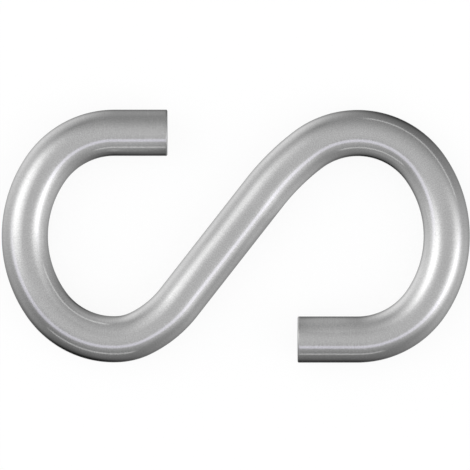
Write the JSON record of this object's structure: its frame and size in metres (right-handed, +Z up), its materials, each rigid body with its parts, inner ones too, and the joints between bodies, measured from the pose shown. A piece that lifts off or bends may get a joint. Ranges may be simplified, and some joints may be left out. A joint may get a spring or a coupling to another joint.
{
  "type": "s hook",
  "caption": "Round steel bar bent flat into an S, with an open hook at each end, a slanted straight leg and square-cut tips, for hanging a load from a rod, ring or chain.",
  "frame": {"origin": "middle of the overall box, at the height of the surface the hook lies on", "axes": "+X along the hook from the left hook to the right hook, +Y across it to the side of the left tip, +Z up from the surface it lies on"},
  "size_m": [0.0608, 0.0328, 0.006],
  "materials": {
    "bar": "satin, with a fine grain"
  },
  "bodies": {
    "root": {"hook": "bar"}
  },
  "joints": []
}
